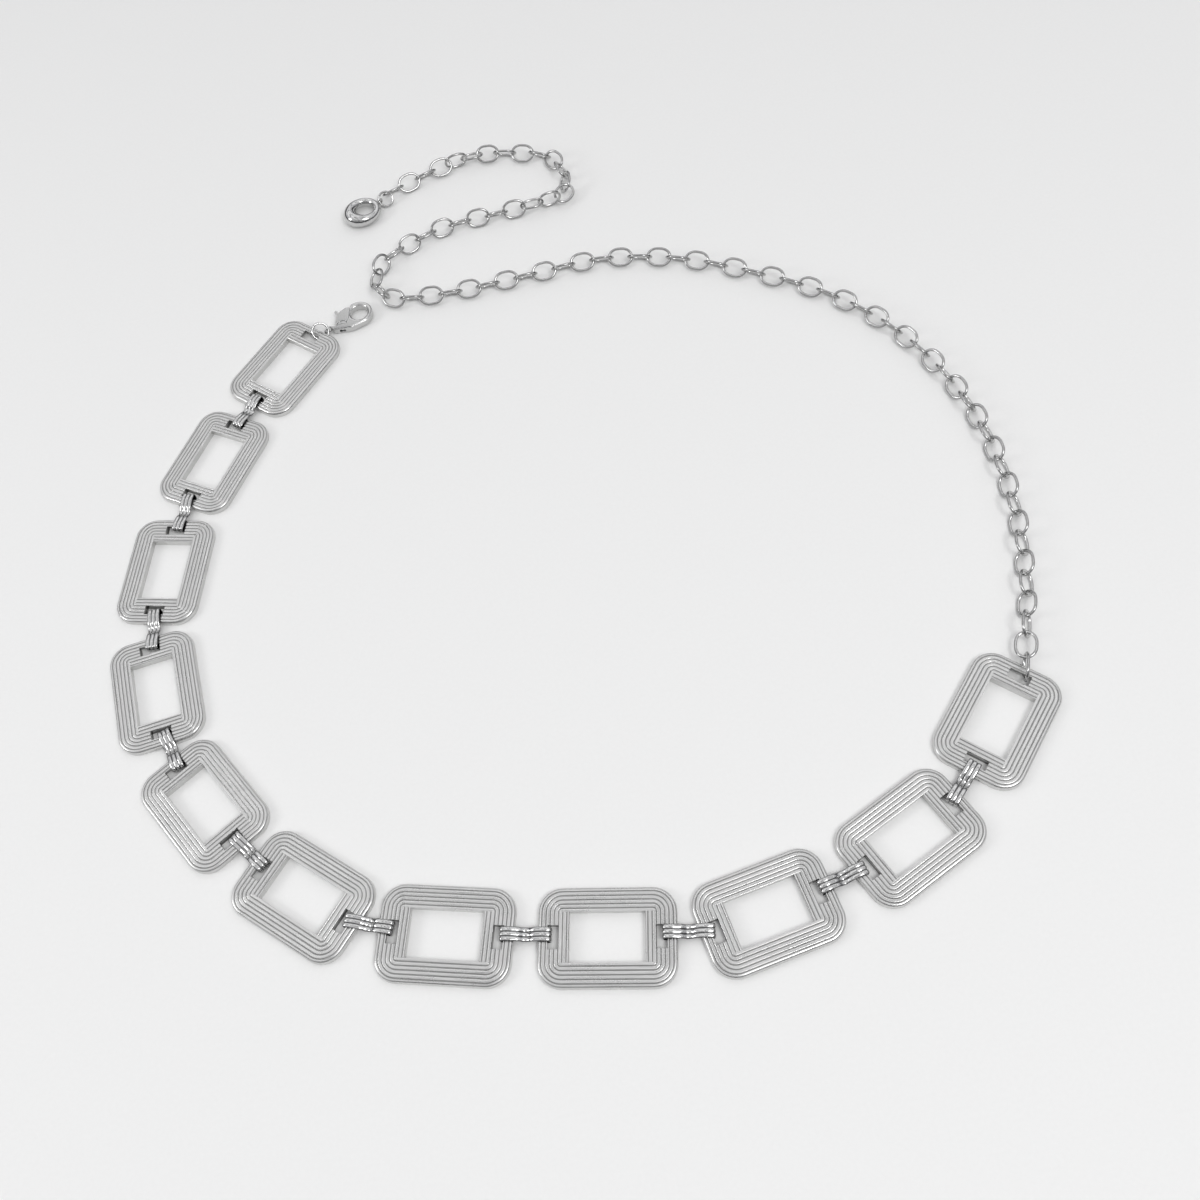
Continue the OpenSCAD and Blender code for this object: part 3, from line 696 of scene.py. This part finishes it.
# %% [markdown]
# ## Table, light and camera
# The belt lies on nearly white matt card, which spreads light evenly and has
# hardly any gloss. Round it stands a pale dome, as in a light tent, so the
# slots and the floor close to the metal darken softly. The dome has darker and
# brighter bands: the metal mirrors them, and bright metal only looks like
# metal when it has something dark to mirror.

# %% Table
TABLE_HALF, CARD_GRAIN_MM = 3, 1.1111
sheet_mesh = bpy.data.meshes.new("table_sheet")
sheet_mesh.from_pydata([(-TABLE_HALF, -TABLE_HALF, 0), (TABLE_HALF, -TABLE_HALF, 0),
                        (TABLE_HALF, TABLE_HALF, 0), (-TABLE_HALF, TABLE_HALF, 0)], [], [(0, 1, 2, 3)])
table = bpy.data.objects.new("table_sheet", sheet_mesh)
bpy.context.scene.collection.objects.link(table)
paper, tree, out = new_finish("matt_white_card")
where = add_node(tree, "ShaderNodeTexCoord")
grain = add_node(tree, "ShaderNodeTexNoise", {"Scale": repeats(CARD_GRAIN_MM)[0], "Detail": 2.0},
                 {"Vector": (where, "Object")})
tone = add_node(tree, "ShaderNodeMix", {"data_type": "RGBA"}, {"Factor": (grain, "Fac")})
tone.inputs["A"].default_value = srgb("#EFEFEE")
tone.inputs["B"].default_value = srgb("#F3F3F2")
card = add_node(tree, "ShaderNodeBsdfPrincipled", {"Roughness": 0.7}, {"Base Color": (tone, "Result")})
tree.links.new(card.outputs["BSDF"], out.inputs["Surface"])
sheet_mesh.materials.append(paper)
print("table of", table.dimensions[0], "m")

# %% Light tent
TENT_STRENGTH = 1.32
# Stops of (share of the way up, colour) and (share of the way sideways, colour).
RISE_BANDS = [
    (0.0, "#48484A"), (0.2, "#2A2A2C"), (0.3, "#A0A0A2"), (0.46, "#F0F0F2"), (0.53, "#4A4A4C"),
    (0.57, "#F4F4F6"), (0.72, "#FFFFFF"), (0.77, "#505052"), (0.82, "#F0F0F2"), (0.94, "#FFFFFF"),
    (0.965, "#6A6A6C"), (1.0, "#F0F0F2")]
SIDE_BANDS = [
    (0.0, "#FFFFFF"), (0.14, "#FFFFFF"), (0.18, "#707072"), (0.22, "#FFFFFF"), (0.42, "#FFFFFF"),
    (0.46, "#606062"), (0.5, "#FFFFFF"), (1.0, "#D0D0D2")]
world = bpy.data.worlds.new("light_tent")
bpy.context.scene.world = world
world.use_nodes = True
tree = world.node_tree
tree.nodes.clear()
where = add_node(tree, "ShaderNodeTexCoord")
split = add_node(tree, "ShaderNodeSeparateXYZ", {}, {"Vector": (where, "Generated")})
sideways = add_node(tree, "ShaderNodeMath", {"operation": "ABSOLUTE"}, {"Value": (split, "X")})
rise = add_node(tree, "ShaderNodeValToRGB", {}, {"Fac": (split, "Z")})
across_tent = add_node(tree, "ShaderNodeValToRGB", {}, {"Fac": (sideways, "Value")})
for panel, bands in ((rise, RISE_BANDS), (across_tent, SIDE_BANDS)):
    stops = panel.color_ramp.elements
    stops[0].position, stops[1].position = bands[0][0], bands[-1][0]
    for position, colour in bands[1:-1]:
        stops.new(position)
    for stop, (position, colour) in zip(stops, bands):
        stop.color = srgb(colour)
# The side that the belt is seen from is dimmer, down to 45 percent.
front = add_node(tree, "ShaderNodeMapRange",
                 {"From Min": -0.75, "From Max": -0.1, "To Min": 0.45, "To Max": 1.0},
                 {"Value": (split, "Y")})
panels = add_node(tree, "ShaderNodeVectorMath", {"operation": "MULTIPLY"})
tree.links.new(rise.outputs["Color"], panels.inputs[0])
tree.links.new(across_tent.outputs["Color"], panels.inputs[1])
tent = add_node(tree, "ShaderNodeVectorMath", {"operation": "SCALE"},
                {"Vector": (panels, "Vector"), "Scale": (front, "Result")})
sky = add_node(tree, "ShaderNodeBackground", {"Strength": TENT_STRENGTH}, {"Color": (tent, "Vector")})
add_node(tree, "ShaderNodeOutputWorld", {}, {"Surface": (sky, "Background")})
bpy.context.scene.view_settings.view_transform = "Standard"
print("tent with", len(RISE_BANDS), "bands upwards and", len(SIDE_BANDS), "sideways")

# %% Softboxes
for name, spot, size, watts in (("softbox_near_right", (0.45, -0.55, 1.05), 0.45, 4.2),
                                ("softbox_low_left", (-0.95, -0.05, 0.5), 0.3, 2)):
    data = bpy.data.lights.new(name, "AREA")
    data.size = size
    data.energy = watts
    lamp = bpy.data.objects.new(name, data)
    lamp.location = spot
    lamp.rotation_euler = (-Vector(spot)).to_track_quat("-Z", "Y").to_euler()
    bpy.context.scene.collection.objects.link(lamp)
    print(name, watts, "W")

# %% Camera from above and in front
VIEW_EL, VIEW_ROLL = np.radians(62.22), np.radians(-11.82)
VIEW_FAR, SENSOR_MM, LENS_MM = 391.3, 36.0, 36.03
look = np.array([0, np.cos(VIEW_EL), -np.sin(VIEW_EL)])
level_right, level_up = np.array([1.0, 0, 0]), np.array([0, np.sin(VIEW_EL), np.cos(VIEW_EL)])
right = np.cos(VIEW_ROLL) * level_right + np.sin(VIEW_ROLL) * level_up
up = -np.sin(VIEW_ROLL) * level_right + np.cos(VIEW_ROLL) * level_up
eye = (np.append(PLACE, 0) - VIEW_FAR * look) / 1000
lens = bpy.data.cameras.new("photo_camera")
lens.sensor_width, lens.lens = SENSOR_MM, LENS_MM
camera = bpy.data.objects.new("photo_camera", lens)
stand = np.eye(4)
stand[:3] = np.column_stack([right, up, -look, eye])
camera.matrix_world = Matrix(stand.tolist())
bpy.context.scene.collection.objects.link(camera)
bpy.context.scene.camera = camera
print("camera at", np.round(eye, 3).tolist())
